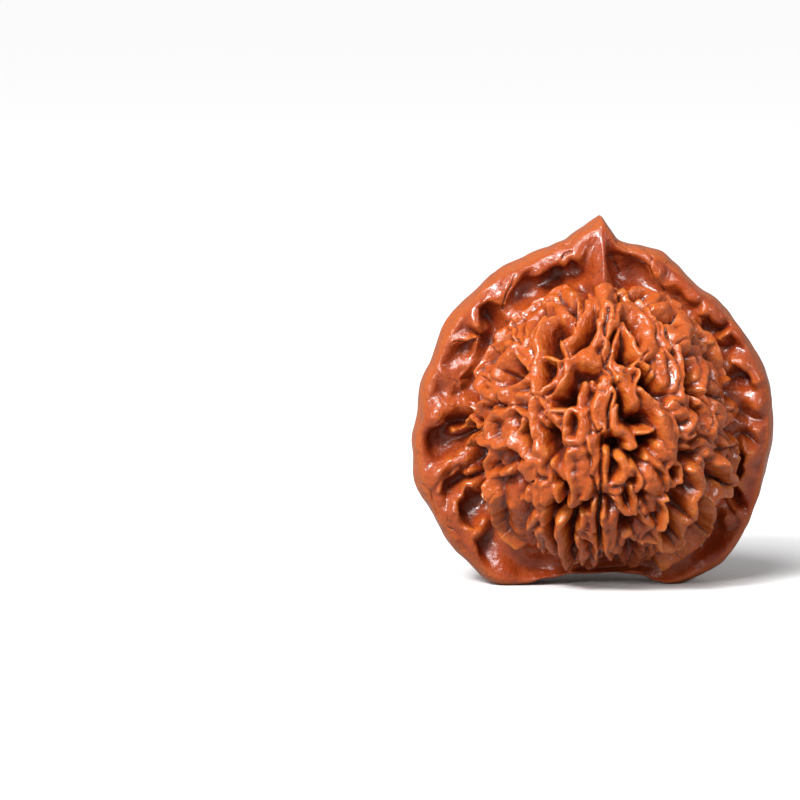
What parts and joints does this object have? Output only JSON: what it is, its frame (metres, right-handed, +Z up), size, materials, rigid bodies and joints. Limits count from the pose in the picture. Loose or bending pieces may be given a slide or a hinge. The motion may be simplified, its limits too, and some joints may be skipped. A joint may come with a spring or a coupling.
{
  "type": "hand walnut",
  "caption": "Polished wild walnut for rolling in the hand, with deeply ridged bellies on a broad flat wing, a pointed beak and a base that it stands on.",
  "frame": {"origin": "middle of the base on the plane that the nut stands on", "axes": "+Z up to the beak, X across the flat wing, Y through the two bellies with the pictured belly towards -Y"},
  "size_m": [0.0453, 0.0379, 0.0461],
  "materials": {
    "shell": "polished by the hand, oily gloss on the ridges, darker and duller in the pits"
  },
  "bodies": {
    "root": {"walnut": "shell"}
  },
  "joints": []
}
